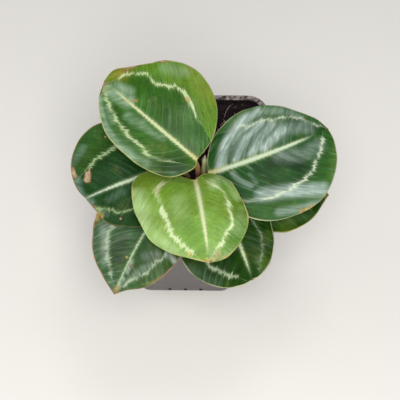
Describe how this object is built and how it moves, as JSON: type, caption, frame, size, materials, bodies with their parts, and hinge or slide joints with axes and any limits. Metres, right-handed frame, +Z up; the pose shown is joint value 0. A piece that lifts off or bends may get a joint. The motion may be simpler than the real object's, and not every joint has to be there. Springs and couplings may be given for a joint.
{
  "type": "potted calathea",
  "caption": "Young calathea with round patterned leaves on short stalks, growing in soil in a tapered square nursery pot.",
  "frame": {"origin": "middle of the pot's flat underside, on the surface that it stands on", "axes": "+Z up; -Y is the front, towards which the longest front leaf points; the pot's sides lie along X and Y"},
  "size_m": [0.1918, 0.1657, 0.202],
  "materials": {
    "pot_plastic": "matte, dusty and scuffed",
    "potting_soil": "loose damp peat with coir fibres",
    "leaf": "waxy, softly glossy, with a feathered pale band and pale midrib",
    "stalk": "satin, brownish green with a red-brown knee",
    "shoot": "satin, pale green"
  },
  "bodies": {
    "root": {"pot": "pot_plastic", "soil": "potting_soil", "leaf_back_left": "leaf", "leaf_right": "leaf", "leaf_front": "leaf", "leaf_left": "leaf", "leaf_front_left": "leaf", "leaf_front_right": "leaf", "leaf_low_right": "leaf", "stalk_back_left": "stalk", "stalk_right": "stalk", "stalk_front": "stalk", "stalk_left": "stalk", "stalk_front_left": "stalk", "stalk_front_right": "stalk", "stalk_low_right": "stalk", "young_shoot": "shoot"}
  },
  "joints": []
}
